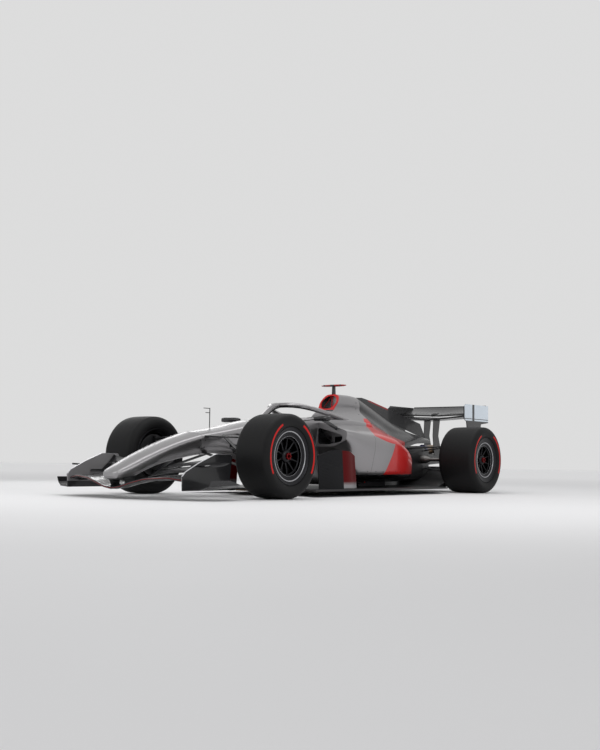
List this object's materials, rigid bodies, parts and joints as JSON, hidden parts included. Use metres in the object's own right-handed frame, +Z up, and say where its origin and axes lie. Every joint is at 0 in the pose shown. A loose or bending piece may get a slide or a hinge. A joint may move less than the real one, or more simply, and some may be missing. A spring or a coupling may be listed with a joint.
{
  "type": "open wheel racing car",
  "caption": "Single seat open wheel racing car with a head protection hoop, slick tyres that steer and roll, wide wings, deep side pods and a finned engine cover.",
  "frame": {"origin": "on the ground, midway between the nose tip and the rearmost edge of the rear wing, on the centre plane", "axes": "+X forwards, +Y to the car's left, +Z up"},
  "size_m": [5.39, 1.9, 1.0987],
  "materials": {
    "body_paint": "metallic silver lacquer",
    "black_gloss": "gloss black",
    "black_matte": "satin black",
    "red_paint": "gloss red",
    "white_panel": "gloss white",
    "tyre_rubber": "smooth",
    "wheel_black": "satin black",
    "bare_aluminium": "machined",
    "dark_steel": "heat tinted",
    "cast_casing": "satin",
    "pad_leather": "padded",
    "seat_cloth": "woven",
    "plank_wood": "dull",
    "mirror_glass": "polished",
    "lamp_red": "gloss"
  },
  "bodies": {
    "chassis": {"survival_cell": "body_paint", "nose_cone": "body_paint", "front_wing_main": "black_gloss", "front_wing_plates": "black_gloss", "halo": "body_paint", "roll_hoop": "body_paint", "engine_cover": "black_gloss", "sidepods": "body_paint", "floor": "black_matte", "floor_boards": "body_paint", "plank": "plank_wood", "diffuser": "black_matte", "engine_block": "cast_casing", "gearbox": "black_matte", "rear_crash_structure": "black_gloss", "rear_wing_main": "black_gloss", "rear_wing_plates": "black_gloss", "rear_wing_pylons": "black_gloss", "exhaust": "dark_steel", "seat": "seat_cloth", "headrest": "pad_leather", "mirrors": "black_gloss", "camera_pod": "black_matte", "pitot_tube": "black_matte", "front_wishbones": "black_matte", "rear_wishbones": "black_matte", "rear_uprights": "bare_aluminium"},
    "steering": {"steering_wheel": "black_matte"},
    "front_flap": {"front_flaps": "black_gloss"},
    "rear_flap": {"rear_wing_flap": "black_gloss"},
    "knuckle_left": {"front_upright_left": "bare_aluminium"},
    "steering_link_left": {"track_rod_left": "black_matte"},
    "front_wheel_left": {"tyre_front_left": "tyre_rubber", "rim_front_left": "wheel_black"},
    "rear_wheel_left": {"tyre_rear_left": "tyre_rubber", "rim_rear_left": "wheel_black", "driveshaft_left": "dark_steel"},
    "knuckle_right": {"front_upright_right": "bare_aluminium"},
    "steering_link_right": {"track_rod_right": "black_matte"},
    "front_wheel_right": {"tyre_front_right": "tyre_rubber", "rim_front_right": "wheel_black"},
    "rear_wheel_right": {"tyre_rear_right": "tyre_rubber", "rim_rear_right": "wheel_black", "driveshaft_right": "dark_steel"}
  },
  "joints": [
    {"name": "steer_left", "type": "hinge", "parent": "chassis", "child": "knuckle_left", "pos_m": [1.565, 0.635, 0.3525], "axis": [0, 0, 1], "range_deg": [-18, 18]},
    {"name": "steering_link_left_pivot", "type": "hinge", "parent": "knuckle_left", "child": "steering_link_left", "pos_m": [1.44, 0.635, 0.4425], "axis": [0, 0, 1], "range_deg": [-18, 18]},
    {"name": "front_wheel_left_spin", "type": "hinge", "parent": "knuckle_left", "child": "front_wheel_left", "pos_m": [1.565, 0.775, 0.3525], "axis": [0, 1, 0], "continuous": true},
    {"name": "rear_wheel_left_spin", "type": "hinge", "parent": "chassis", "child": "rear_wheel_left", "pos_m": [-1.835, 0.74, 0.355], "axis": [0, 1, 0], "continuous": true},
    {"name": "steer_right", "type": "hinge", "parent": "chassis", "child": "knuckle_right", "pos_m": [1.565, -0.635, 0.3525], "axis": [0, 0, 1], "range_deg": [-18, 18]},
    {"name": "steering_link_right_pivot", "type": "hinge", "parent": "knuckle_right", "child": "steering_link_right", "pos_m": [1.44, -0.635, 0.4425], "axis": [0, 0, 1], "range_deg": [-18, 18]},
    {"name": "front_wheel_right_spin", "type": "hinge", "parent": "knuckle_right", "child": "front_wheel_right", "pos_m": [1.565, -0.775, 0.3525], "axis": [0, 1, 0], "continuous": true},
    {"name": "rear_wheel_right_spin", "type": "hinge", "parent": "chassis", "child": "rear_wheel_right", "pos_m": [-1.835, -0.74, 0.355], "axis": [0, 1, 0], "continuous": true},
    {"name": "steering_wheel_turn", "type": "hinge", "parent": "chassis", "child": "steering", "pos_m": [0.528, 0, 0.6], "axis": [-0.9905, 0, 0.1372], "range_deg": [-180, 180]},
    {"name": "front_flap_tilt", "type": "hinge", "parent": "chassis", "child": "front_flap", "pos_m": [2.30515, 0, 0.212], "axis": [0, 1, 0], "range_deg": [-3, 3]},
    {"name": "rear_flap_open", "type": "hinge", "parent": "chassis", "child": "rear_flap", "pos_m": [-2.6563, 0, 0.97023], "axis": [0, -1, 0], "range_deg": [0, 18]}
  ],
  "couplings": [
    {"joint": "steering_link_left_pivot", "follows": "steer_left", "ratio": -1},
    {"joint": "steering_link_right_pivot", "follows": "steer_left", "ratio": -1},
    {"joint": "steer_right", "follows": "steer_left", "ratio": 1},
    {"joint": "steering_wheel_turn", "follows": "steer_left", "ratio": 10}
  ]
}
